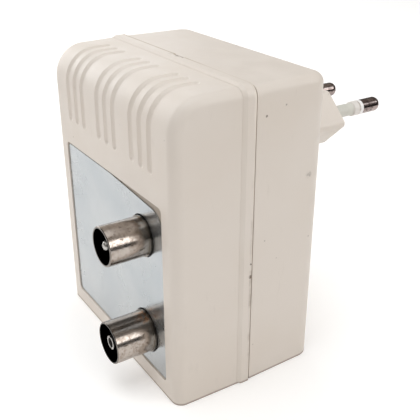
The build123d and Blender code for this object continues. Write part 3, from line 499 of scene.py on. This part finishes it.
def tarnished_nickel(name, centre, bore, pock_and_top_share, rust):
    """Worn nickel barrel: brown blotches, stains, a darker top, grime, rust and painted shade at the foot,
    turning marks and a bore painted black as shade.
    """
    finish = Finish(name, metallic=1.0)
    blotch = finish.noise(800.0, detail=6.0, roughness=0.66, distortion=0.5)
    colour = finish.blend(finish.band(blotch, 0.40, 0.68), NICKEL_BRIGHT, NICKEL_BROWN)
    colour = stained(finish, colour, pock_and_top_share)
    # Darker towards the top of the barrel
    darker_top = finish.band(finish.axis("Z"), *(centre[1] + rise for rise in TOP_TONE_RISES), top=pock_and_top_share)
    colour = finish.blend(darker_top, colour, TOP_TONE)
    colour = grime_rust_and_foot_shade(finish, colour, centre, rust)
    colour = rim_and_shaded_bore(finish, colour, centre, bore)
    roughness = finish.band(blotch, 0.35, 0.70, 0.17, 0.27)
    turning = finish.noise(2200.0, detail=2.0, roughness=0.5, vector=finish.stretched((0.05, 1.0, 0.05)))
    ridges = finish.relief(turning, distance=0.00001, strength=0.35)
    pits = finish.relief(finish.noise(1400.0, detail=4.0), distance=0.00002, strength=0.25, below=ridges)
    return finish.wear(colour, roughness, pits)


def socket_contact(name):
    """Tinned contact inside a barrel: pale at its tip, with painted shade that makes it nearly black further
    in.
    """
    finish = Finish(name, metallic=1.0)
    cloud = finish.noise(900.0, detail=4.0, roughness=0.6)
    colour = finish.blend(finish.band(cloud, 0.38, 0.68), CONTACT_PALE, CONTACT_DULL)
    # Painted shade: darker further in from the mouth
    shaded = finish.band(finish.axis("Y"), *(MOUTH_Y + depth for depth in CONTACT_SHADE_DEPTHS))
    colour = finish.blend(shaded, colour, CONTACT_PAINTED_SHADE)
    rough = finish.band(cloud, 0.3, 0.7, 0.26, 0.44)
    pits = finish.relief(finish.noise(3600.0), distance=0.00001, strength=0.4)
    return finish.wear(colour, rough, pits)


def tarnished_pin(name):
    """Bare end of a plug pin: dark purplish tarnish in clouds, with nearly black spots."""
    finish = Finish(name, metallic=1.0)
    cloud = finish.noise(420.0, detail=4.0, roughness=0.6)
    colour = finish.blend(finish.band(cloud, 0.38, 0.66), PIN_BROWN, PIN_DARK)
    spots = finish.band(finish.noise(1100.0, detail=4.0, roughness=0.6), 0.54, 0.62, top=0.75)
    colour = finish.blend(spots, colour, PIN_SPOT)
    rough = finish.band(cloud, 0.3, 0.7, 0.11, 0.20)
    pits = finish.relief(finish.noise(1700.0), distance=0.00001, strength=0.35)
    return finish.wear(colour, rough, pits)


def ringed_sleeve(name):
    """Pin sleeve: dull greyish neck, cleaner pale collar next to the bare metal, dirt at the collar's rim."""
    finish = Finish(name)
    cloud = finish.noise(300.0)
    colour = finish.blend(finish.band(cloud, 0.3, 0.7), SLEEVE_GREY, SLEEVE_PALE)
    for place, tone in ((COLLAR_Y, COLLAR_CREAM), (COLLAR_Y + COLLAR_END, COLLAR_WHITE)):
        ahead = finish.band(finish.axis("Y"), place - TONE_EDGE, place + TONE_EDGE)
        colour = finish.blend(ahead, colour, tone)
    rim = finish.near_plane("Y", COLLAR_Y + COLLAR_RIM, *COLLAR_RIM_SPREAD)
    rim = finish.times(rim, finish.band(finish.noise(900.0), 0.42, 0.58, top=0.55))
    colour = finish.blend(rim, colour, COLLAR_DIRT)
    rough = finish.band(cloud, 0.3, 0.7, 0.38, 0.5)
    grain = finish.relief(finish.noise(2400.0, detail=2.0), distance=0.00002, strength=0.4)
    return finish.wear(colour, rough, grain)


def bright_metal(name, pale, dull, roughness, scale):
    """Plated or rolled metal with soft clouding and small pits."""
    finish = Finish(name, metallic=1.0)
    cloud = finish.noise(scale, detail=4.0, roughness=0.6)
    colour = finish.blend(finish.band(cloud, 0.38, 0.68), pale, dull)
    rough = finish.band(cloud, 0.3, 0.7, roughness * 0.75, roughness * 1.35)
    pits = finish.relief(finish.noise(scale * 4.0), distance=0.00001, strength=0.4)
    return finish.wear(colour, rough, pits)


def plain_moulding(name, pale, dull, roughness):
    """Plastic, paper, ceramic or lacquer: two close tones in clouds and a fine grain."""
    finish = Finish(name)
    colour = finish.blend(finish.band(finish.noise(300.0), 0.3, 0.7), pale, dull)
    uneven = finish.noise(600.0)
    rough = finish.band(uneven, 0.3, 0.7, roughness * 0.85, min(1.0, roughness * 1.2))
    grain = finish.relief(finish.noise(2400.0, detail=2.0), distance=0.00002, strength=0.4)
    return finish.wear(colour, rough, grain)


def laminate(name):
    """Brown circuit board: woven speckle and a slight gloss."""
    finish = Finish(name)
    fibre = finish.noise(1800.0, roughness=0.6, vector=finish.stretched((1.0, 1.0, 0.25)))
    colour = finish.blend(finish.band(fibre, 0.35, 0.65), BOARD_DARK, BOARD_PALE)
    rough = finish.band(finish.noise(300.0), 0.3, 0.7, 0.35, 0.5)
    weave = finish.relief(fibre, distance=0.00001, strength=0.4)
    return finish.wear(colour, rough, weave)


def steel_stack(name):
    """Varnished core sheets: fine dark lines across the stack and a little rust."""
    finish = Finish(name, metallic=0.8)
    lines = finish.stripes("Y", 320.0, distortion=0.3)
    rust = finish.band(finish.noise(400.0, detail=5.0), 0.55, 0.72, top=0.5)
    colour = finish.blend(rust, finish.blend(lines, STEEL_LINE, STEEL_SHEET), STEEL_RUST)
    rough = finish.band(lines, 0.0, 1.0, 0.55, 0.38)
    edges = finish.relief(lines, distance=0.00004, strength=0.5)
    return finish.wear(colour, rough, edges)


def wound_copper(name):
    """Enamelled wire laid side by side round the bobbin."""
    finish = Finish(name, metallic=0.75)
    lines = finish.stripes("Z", 900.0, distortion=0.6)
    colour = finish.blend(lines, COPPER_GAP, COPPER_TURN)
    rough = finish.band(lines, 0.0, 1.0, 0.42, 0.24)
    turns = finish.relief(lines, distance=0.00006, strength=0.7)
    return finish.wear(colour, rough, turns)


def all_finishes():
    """Every finish of the object, by its name."""
    singles = {
        "case_cream_plastic": case_plastic,
        "label_silver_foil": label_foil,
        "tv_pin_tin": socket_contact,
        "aerial_contact_tin": socket_contact,
        "pin_nickel": tarnished_pin,
        "pin_sleeve_cream": ringed_sleeve,
        "board_laminate": laminate,
        "core_steel_stack": steel_stack,
        "winding_copper": wound_copper,
    }
    made = {name: make(name) for name, make in singles.items()}
    for make, rows in ((tarnished_nickel, BARRELS), (bright_metal, METALS), (plain_moulding, MOULDINGS)):
        for name, values in rows.items():
            made[name] = make(name, *values)
    return made


def dress_frame(nodes):
    """Gives every CAD node its finish."""
    made = all_finishes()
    for name, dressed in NODES_BY_FINISH.items():
        for node in dressed:
            mesh = nodes[node].data
            mesh.materials.clear()
            mesh.materials.append(made[name])


def new_object(name, data):
    """Puts a new object with the given data into the scene."""
    obj = bpy.data.objects.new(name, data)
    bpy.context.collection.objects.link(obj)
    return obj


def new_mesh(name, points, faces):
    """Mesh from an array of points and an array of faces."""
    mesh = bpy.data.meshes.new(name)
    mesh.from_pydata(points.reshape(-1, 3).tolist(), [], faces.tolist())
    return mesh


def bare_material(name):
    """Material with an output alone; returned with its nodes, its links and the output's surface."""
    material = bpy.data.materials.new(name)
    material.use_nodes = True
    nodes, links = material.node_tree.nodes, material.node_tree.links
    nodes.clear()
    return material, nodes, links, nodes.new("ShaderNodeOutputMaterial").inputs["Surface"]


def seen_directly(nodes, links):
    """One for rays from the camera and for mirrored and refracted ones, nothing for scattered light."""
    path = nodes.new("ShaderNodeLightPath")
    total = path.outputs["Is Camera Ray"]
    for name in ("Is Glossy Ray", "Is Transmission Ray"):
        either = nodes.new("ShaderNodeMath")
        either.operation = "MAXIMUM"
        links.new(total, either.inputs[0])
        links.new(path.outputs[name], either.inputs[1])
        total = either.outputs[0]
    return total


def straight_range(nodes, links, value, low, high, bottom, top):
    """Value stretched in a straight line so that low becomes bottom and high becomes top."""
    remap = nodes.new("ShaderNodeMapRange")
    links.new(value, remap.inputs["Value"])
    for name, number in (("From Min", low), ("From Max", high), ("To Min", bottom), ("To Max", top)):
        remap.inputs[name].default_value = number
    return remap.outputs["Result"]


def table_paint():
    """Pale paint that also glows a little where it is seen or mirrored."""
    material, nodes, links, surface = bare_material("white_table")
    paint = nodes.new("ShaderNodeBsdfDiffuse")
    paint.inputs["Color"].default_value = TABLE_PAINT
    glow = nodes.new("ShaderNodeEmission")
    glow.inputs["Color"].default_value = TABLE_GLOW
    level = nodes.new("ShaderNodeMath")
    level.operation = "MULTIPLY"
    level.inputs[1].default_value = FLOOR_GLOW
    links.new(seen_directly(nodes, links), level.inputs[0])
    links.new(level.outputs[0], glow.inputs["Strength"])
    both = nodes.new("ShaderNodeAddShader")
    links.new(paint.outputs[0], both.inputs[0])
    links.new(glow.outputs[0], both.inputs[1])
    links.new(both.outputs[0], surface)
    return material


def floor():
    """Large pale table that keeps the object's shadow and looks white to the camera."""
    corners = np.array([(-1, -1, 0), (1, -1, 0), (1, 1, 0), (-1, 1, 0)]) * TABLE_REACH
    mesh = new_mesh("table_top", corners, np.array([(0, 1, 2, 3)]))
    table = new_object("table_top", mesh)
    mesh.materials.append(table_paint())


def sky():
    """Even pale surround: white where it is seen, softer as light."""
    world = bpy.data.worlds.new("studio_surround")
    bpy.context.scene.world = world
    world.use_nodes = True
    nodes, links = world.node_tree.nodes, world.node_tree.links
    surround = nodes["Background"]
    surround.inputs["Color"].default_value = (1, 1, 1, 1)
    level = straight_range(nodes, links, seen_directly(nodes, links), 0.0, 1.0, SKY_LEVEL, 1.0)
    links.new(level, surround.inputs["Strength"])


def dome_card():
    """Dim warm card, paler towards the top, with one bright cool window that fades at its edge."""
    card, nodes, links, surface = bare_material("dim_card")
    place = nodes.new("ShaderNodeTexCoord").outputs["Object"]
    split = nodes.new("ShaderNodeSeparateXYZ")
    links.new(place, split.inputs[0])
    level = straight_range(nodes, links, split.outputs["Z"], DOME_RADIUS * DOME_DIM_BELOW,
                           DOME_RADIUS * DOME_PALE_ABOVE, DOME_LOW, DOME_HIGH)
    away = nodes.new("ShaderNodeVectorMath")
    away.operation = "DISTANCE"
    links.new(place, away.inputs[0])
    away.inputs[1].default_value = WINDOW_PLACE
    window = straight_range(nodes, links, away.outputs["Value"], WINDOW_RADIUS,
                            WINDOW_RADIUS * WINDOW_SOFTNESS, 1.0, 0.0)
    total = nodes.new("ShaderNodeMath")
    total.operation = "MULTIPLY_ADD"
    links.new(window, total.inputs[0])
    total.inputs[1].default_value = WINDOW_LEVEL
    links.new(level, total.inputs[2])
    tint = nodes.new("ShaderNodeMix")
    tint.data_type = "RGBA"
    links.new(window, tint.inputs["Factor"])
    tint.inputs["A"].default_value = DOME_WARM
    tint.inputs["B"].default_value = WINDOW_COOL
    glow = nodes.new("ShaderNodeEmission")
    links.new(total.outputs[0], glow.inputs["Strength"])
    links.new(tint.outputs["Result"], glow.inputs["Color"])
    links.new(glow.outputs[0], surface)
    return card


def show_only_in_gloss(obj):
    """Hides an object from every kind of ray but the mirrored ones."""
    for ray in ("camera", "diffuse", "shadow", "transmission", "volume_scatter"):
        setattr(obj, f"visible_{ray}", False)


def dim_dome():
    """Half ball of dim card round the object, seen only in gloss, so that metal has something to mirror.

    A point is at the dome's radius times (cos of its bearing times cos of its height angle, sine of the
    bearing times the same cosine, sine of the height angle), with bearings all round and heights from low to
    the top.
    """
    bearing = np.linspace(0.0, 2.0 * np.pi, DOME_COLUMNS + 1)[:-1]
    height = np.radians(np.linspace(DOME_FROM, 90.0, DOME_ROWS))
    turn, rise = np.meshgrid(bearing, height)
    across = np.cos(rise)
    points = DOME_RADIUS * np.stack([np.cos(turn) * across, np.sin(turn) * across, np.sin(rise)], -1)
    here = np.arange((DOME_ROWS - 1) * DOME_COLUMNS).reshape(DOME_ROWS - 1, DOME_COLUMNS)
    beside = np.roll(here, -1, axis=1)
    faces = np.stack([here, here + DOME_COLUMNS, beside + DOME_COLUMNS, beside], -1).reshape(-1, 4)
    mesh = new_mesh("dim_dome", points, faces)
    dome = new_object("dim_dome", mesh)
    show_only_in_gloss(dome)
    mesh.materials.append(dome_card())


def flag_card():
    """Dull black card."""
    card = bpy.data.materials.new("dark_card")
    card.use_nodes = True
    paint = card.node_tree.nodes["Principled BSDF"]
    paint.inputs["Base Color"].default_value = FLAG_BLACK
    paint.inputs["Roughness"].default_value = 1.0
    return card


def dark_flag():
    """Low curved strip of dark card, seen only in gloss, which metal mirrors as a dark line.

    A point is at the strip's radius times (cos, sin) of its bearing, and its height runs straight from the
    strip's foot to its top.
    """
    bearing = np.radians(np.linspace(*FLAG_BEARINGS, FLAG_COLUMNS))
    turn, rise = np.meshgrid(bearing, np.array([FLAG_FOOT, FLAG_HEIGHT]))
    points = np.stack([FLAG_RADIUS * np.cos(turn), FLAG_RADIUS * np.sin(turn), rise], -1)
    here = np.arange(FLAG_COLUMNS - 1)
    faces = np.stack([here, here + 1, here + 1 + FLAG_COLUMNS, here + FLAG_COLUMNS], -1)
    mesh = new_mesh("dark_flag", points, faces)
    flag = new_object("dark_flag", mesh)
    show_only_in_gloss(flag)
    mesh.materials.append(flag_card())


def lamp(name, place, target, size, power, tint=WHITE):
    """Square soft light at a place, turned towards its target; returns its object."""
    light = bpy.data.lights.new(name, "AREA")
    light.shape = "SQUARE"
    light.size = size
    light.energy = power
    light.color = tint
    obj = new_object(name, light)
    obj.location = place
    obj.rotation_euler = (Vector(target) - Vector(place)).to_track_quat("-Z", "Y").to_euler()
    return obj


def lamps():
    """Softboxes round the table, and the low lamp that metal doesn't mirror."""
    for name, place, size, power, tint in SOFTBOXES:
        lamp(name, place, CASE_MIDDLE, size, power, tint)
    bounce = lamp("table_bounce", BOUNCE_PLACE, BOUNCE_TARGET, BOUNCE_SIZE, BOUNCE_POWER)
    bounce.visible_glossy = False


def camera():
    """Camera at the photographer's place; its axes come from azimuth, drop and roll."""
    turn, drop, roll = (math.radians(a) for a in (CAMERA_AZIMUTH, CAMERA_DROP, CAMERA_ROLL))
    right = np.array([math.cos(turn), math.sin(turn), 0.0])
    ahead = np.array([-math.sin(turn) * math.cos(drop), math.cos(turn) * math.cos(drop), -math.sin(drop)])
    up = np.cross(right, ahead)
    rolled_right = right * math.cos(roll) + up * math.sin(roll)
    rolled_up = up * math.cos(roll) - right * math.sin(roll)
    data = bpy.data.cameras.new("photo_camera")
    data.sensor_width = SENSOR_WIDTH
    data.lens = SENSOR_WIDTH * FOCAL_PIXELS / PHOTO_PIXELS
    data.clip_start = NEAREST_SEEN
    obj = new_object("photo_camera", data)
    axes = np.eye(4)
    axes[:3, 0], axes[:3, 1], axes[:3, 2], axes[:3, 3] = rolled_right, rolled_up, -ahead, CAMERA_PLACE
    obj.matrix_world = Matrix(axes.tolist())
    bpy.context.scene.camera = obj


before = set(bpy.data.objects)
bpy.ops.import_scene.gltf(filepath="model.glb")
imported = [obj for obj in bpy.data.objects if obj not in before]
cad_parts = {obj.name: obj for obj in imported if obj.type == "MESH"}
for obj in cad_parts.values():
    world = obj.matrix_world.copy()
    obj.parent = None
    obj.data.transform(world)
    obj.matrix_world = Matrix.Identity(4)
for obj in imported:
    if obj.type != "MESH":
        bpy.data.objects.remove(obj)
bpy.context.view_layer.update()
dress_frame(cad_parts)
floor()
sky()
dim_dome()
dark_flag()
lamps()
camera()
bpy.context.scene.view_settings.view_transform = "Standard"
